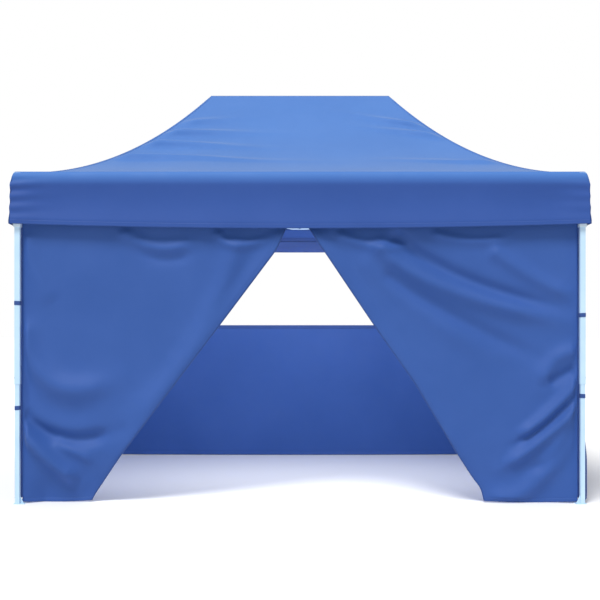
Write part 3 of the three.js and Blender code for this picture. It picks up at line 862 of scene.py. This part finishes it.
def make_back():
    surface = back_surface()
    low, high = PANE_LO[2], PANE_HI[2]

    def up(obj, slot="wall_fabric", stands_for=()):
        return hang(obj, "leg_back_left", stands_for)

    xs = stretches((-BACK_HALF, -PANE_HALF, 22), (-PANE_HALF, PANE_HALF, 100), (PANE_HALF, BACK_HALF, 22))
    zs = stretches((WALL_BOTTOM, low, 70), (low, high, 40), (high, WALL_TOP, 12))
    x_mid, z_mid = (xs[1:] + xs[:-1]) / 2, (zs[1:] + zs[:-1]) / 2
    hole = (np.abs(x_mid)[None, :] < PANE_HALF) & ((z_mid > low) & (z_mid < high))[:, None]
    wall = up(surface.shell("wall_back", xs, zs, WALL, kept=~hole), stands_for=("back_wall",))
    film_x = np.linspace(-PANE_HALF - FILM_LAP, PANE_HALF + FILM_LAP, 100)
    film_z = np.linspace(low - FILM_LAP, high + FILM_LAP, 40)
    film = surface.shell("window_pane", film_x, film_z, FILM, lift=-0.0016, thick=0.0005)
    up(film, "window_film", ("back_window",))
    loops = [along(rounded_rectangle(PANE_HALF - FILM_LAP + grow, low + FILM_LAP - grow,
                                     high - FILM_LAP + grow, BINDING_CORNER + grow), 0.03)
             for grow in (0.0, BINDING_WIDTH)]
    count = min(len(loop) for loop in loops)
    loops = [loop[np.linspace(0, len(loop) - 1, count).astype(int)] for loop in loops]
    binding = up(ring_shell(surface, "window_binding", *loops, BINDING, 0.0012, 0.0006))
    hem = up(surface.shell("wall_back_hem", np.linspace(-BACK_HALF, BACK_HALF, 120), hem_heights(WALL_HEM),
                           WALL, lift=HEM_LIFT))
    rows = [level_line(-BACK_HALF + 0.01, BACK_HALF - 0.01, 120, WALL_BOTTOM + WALL_ROW)]
    sewing = up(surface.stitches("wall_back_stitches", rows, THREAD, **WALL_SEWING))


make_back()


SIDE_HALF = WALL_HI[1]
# folds of a side wall: three points of the line from a leg inwards, half width and rise
SIDE_FOLDS = [
    (((-SIDE_HALF, 1.30), (-0.75, 0.92), (0.10, 0.95)), 0.09, 0.024),
    (((SIDE_HALF, 1.35), (0.80, 0.98), (0.20, 0.80)), 0.09, 0.022),
    (((-SIDE_HALF, 0.62), (-0.90, 0.40), (-0.40, 0.34)), 0.06, 0.020),
    (((SIDE_HALF, 0.70), (0.90, 0.44), (0.35, 0.30)), 0.06, 0.020),
]
# the wall stands out beside the front leg near the ground, most on the right
FOOT_BULGE = 0.018
BULGE_SHARE = {"left": 0.3, "right": 1}
SIDE_RELIEF = 0.009


def side_surface(side):
    """y and z are the places in the wall's own plane."""
    sign = -1 if side == "left" else 1
    x0 = sign * (WALL_LO[0] + WALL_HI[0]) / 2
    seed = {"left": 61, "right": 63}[side]

    def place(y, z):
        lift = SIDE_RELIEF * waves(y, z, seed, lowest=0.3, highest=1.1)
        for points, width, height in SIDE_FOLDS:
            lift = lift + ridge(y, z, points, width, height)
        bulge = FOOT_BULGE * np.exp(-((y + SIDE_HALF - 0.03) / 0.12) ** 2)
        bulge = bulge * smooth(z, 0.0, 0.05) * smooth(-z, -0.52, -0.30) * BULGE_SHARE[side]
        hold = smooth(SIDE_HALF - np.abs(y), 0.0, 0.10) * slack(z)
        x = x0 + sign * (np.abs(lift) * hold * 0.7 + bulge)
        return x, y, z - bottom_sag(y, SIDE_HALF, z)

    return Surface(place, flip=(side == "left"))


def make_side(side):
    surface = side_surface(side)

    def up(obj, stands_for=()):
        return hang(obj, f"leg_front_{side}",
                    stands_for)

    ys = np.linspace(-SIDE_HALF, SIDE_HALF, 120)
    zs = np.linspace(WALL_BOTTOM, WALL_TOP, 110)
    wall = up(surface.shell(f"wall_{side}", ys, zs, SIDE), (f"side_wall_{side}",))
    hem = up(surface.shell(f"wall_{side}_hem", ys, hem_heights(WALL_HEM), SIDE, lift=HEM_LIFT))
    rows = [level_line(-SIDE_HALF + 0.01, SIDE_HALF - 0.01, 90, WALL_BOTTOM + WALL_ROW)]
    sewing = up(surface.stitches(f"wall_{side}_stitches", rows, THREAD, **WALL_SEWING))


make_side("left")
make_side("right")


# ---- straps, plugs and buttons ------------------------------------------------------------------
INNER_HALF = 0.016
OUTER_HALF = LEG_SIDE / 2
STRAP_WIDTH = 0.029
STRAP_TILT = 0.05
STRAP_HEIGHTS = {"front_left": (1.426, 0.682), "front_right": (1.341, 0.767),
                 "back_left": (1.420, 0.700), "back_right": (1.400, 0.745)}
BUTTON_ABOVE = 0.045
PLUG_Z = 1.795
# turned outlines as (radius, height above the leg's face)
BUTTON_OUTLINE = [(0.0105, -0.0005), (0.0105, 0.0012), (0.0092, 0.0020), (0.0072, 0.0020), (0.0066, 0.0042),
                  (0.0052, 0.0062), (0.0028, 0.0074), (0.0006, 0.0078)]
PLUG_OUTLINE = [(0.0080, -0.0005), (0.0080, 0.0015), (0.0070, 0.0028), (0.0045, 0.0036), (0.0008, 0.0038)]


def make_strap(name, centre, half, z, body, tilt):
    """A webbing tie pulled tight round a leg, a little slanted."""
    loop = rounded_rectangle(half + 0.0022, -half - 0.0022, half + 0.0022, 0.005, 6)
    inner = rounded_rectangle(half + 0.0004, -half - 0.0004, half + 0.0004, 0.0035, 6)
    rows = []
    for share, ring in ((0.0, loop), (0.06, loop * 1.012), (0.5, loop * 1.02), (0.94, loop * 1.012),
                        (1.0, loop), (1.0, inner), (0.5, inner), (0.0, inner)):
        lift = z + (share - 0.5) * STRAP_WIDTH + tilt * ring[:, 0]
        rows.append(np.stack([centre[0] + ring[:, 0], centre[1] + ring[:, 1], lift], axis=1))
    strap = mesh_object(name, np.concatenate(rows), ring_faces(len(rows), len(loop)), BINDING)
    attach(strap, body)


def lathe(name, outline, centre, axis, material, steps=28):
    """A turned piece from (radius, height) points, along axis from centre."""
    turn = Vector((0, 0, 1)).rotation_difference(Vector(axis)).to_matrix()
    verts = []
    for radius, height in outline:
        for k in range(steps):
            angle = k * math.tau / steps
            point = Vector((radius * math.cos(angle), radius * math.sin(angle), height))
            verts.append(turn @ point + Vector(centre))
    faces = ring_faces(len(outline), steps, closed=False)
    faces.append(tuple(range(steps))[::-1])
    faces.append(tuple(range((len(outline) - 1) * steps, len(outline) * steps)))
    return mesh_object(name, verts, faces, material)


def make_leg_details():
    for corner, heights in STRAP_HEIGHTS.items():
        sx = -1 if corner.endswith("left") else 1
        sy = -1 if corner.startswith("front") else 1
        body = f"leg_{corner}"
        for level, z, way in zip(("upper", "lower"), heights, (1, -1)):
            half = OUTER_HALF if z > LEG_LO[2] else INNER_HALF
            make_strap(f"strap_{corner}_{level}", (sx * LEG_X, sy * LEG_Y), half, z, body,
                       STRAP_TILT * sx * way)
        for name, outline, z, material in (
                ("height_button", BUTTON_OUTLINE, LEG_LO[2] + BUTTON_ABOVE, ZINC),
                ("stop_plug", PLUG_OUTLINE, PLUG_Z, GREY)):
            knob = lathe(f"{name}_{corner}", outline, (sx * (LEG_X + OUTER_HALF), sy * LEG_Y, z),
                         (sx, 0, 0), material)
            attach(knob, body)


make_leg_details()


# ---- finishes of the CAD pieces -----------------------------------------------------------------
def finish_metal():
    for name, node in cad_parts.items():
        if name.startswith("slider_button"):
            material = GREY
        elif name.startswith(("slider", "side_bracket", "peak_guide")):
            material = NYLON
        elif name.startswith(("leg", "peak_pole")) or "_bar_" in name:
            material = STEEL
        else:
            continue
        node.data.materials.clear()
        node.data.materials.append(material)


finish_metal()


# ---- floor, light and camera --------------------------------------------------------------------
FLOOR_REACH = 60.0
FLOOR_GREY = (0.9, 0.9, 0.9, 1)


def make_floor():
    mesh = bpy.data.meshes.new("floor")
    corners = [(x * FLOOR_REACH, y * FLOOR_REACH, 0) for x, y in ((-1, -1), (1, -1), (1, 1), (-1, 1))]
    mesh.from_pydata(corners, [], [(0, 1, 2, 3)])
    floor = bpy.data.objects.new("floor", mesh)
    bpy.context.scene.collection.objects.link(floor)
    material, _, _, shader = new_material("pale_floor")
    shader.inputs["Base Color"].default_value = FLOOR_GREY
    shader.inputs["Roughness"].default_value = 0.9
    shader.inputs["Specular IOR Level"].default_value = 0.1
    mesh.materials.append(material)


SKY_SEEN = 1.0
SKY_LIGHT = 0.5
KEY_STRENGTH = 2.8
KEY_SPREAD = math.radians(20)
KEY_FROM = Vector((-0.25, -0.55, 1.0))
INSIDE_POWER = 62.0
INSIDE_SIZE = (3.2, 0.3)
INSIDE_PLACE = (0, -0.95, 2.10)
INSIDE_FROM = Vector((0, -1.0, 0.55))


def make_light():
    scene = bpy.context.scene
    world = bpy.data.worlds.new("studio")
    scene.world = world
    world.use_nodes = True
    nodes, links = world.node_tree.nodes, world.node_tree.links
    background = nodes["Background"]
    background.inputs["Color"].default_value = (1.0, 1.0, 1.0, 1)
    path = nodes.new("ShaderNodeLightPath")
    level = nodes.new("ShaderNodeMapRange")
    level.inputs["To Min"].default_value = SKY_LIGHT
    level.inputs["To Max"].default_value = SKY_SEEN
    links.new(path.outputs["Is Camera Ray"], level.inputs["Value"])
    links.new(level.outputs["Result"], background.inputs["Strength"])

    sun = bpy.data.lights.new("key", "SUN")
    sun.energy = KEY_STRENGTH
    sun.angle = KEY_SPREAD
    key = bpy.data.objects.new("key", sun)
    key.rotation_euler = KEY_FROM.to_track_quat("Z", "Y").to_euler()
    scene.collection.objects.link(key)

    soft = bpy.data.lights.new("inside", "AREA")
    soft.shape = "RECTANGLE"
    soft.size, soft.size_y = INSIDE_SIZE
    soft.energy = INSIDE_POWER
    inside = bpy.data.objects.new("inside", soft)
    inside.location = INSIDE_PLACE
    inside.rotation_euler = INSIDE_FROM.to_track_quat("Z", "Y").to_euler()
    inside.visible_camera = False
    scene.collection.objects.link(inside)
    scene.view_settings.view_transform = "Standard"


CAMERA_HEIGHT = 1.32
CAMERA_AWAY = 7.6
LENS = 64.2
SENSOR = 36.0
SHIFT_UP = 0.03


def make_camera():
    data = bpy.data.cameras.new("camera")
    data.lens = LENS
    data.sensor_width = SENSOR
    data.shift_y = SHIFT_UP
    camera = bpy.data.objects.new("camera", data)
    camera.location = (0.0, -(LEG_Y + CAMERA_AWAY), CAMERA_HEIGHT)
    camera.rotation_euler = (QUARTER, 0, 0)
    bpy.context.scene.collection.objects.link(camera)
    bpy.context.scene.camera = camera


make_floor()
make_light()
make_camera()
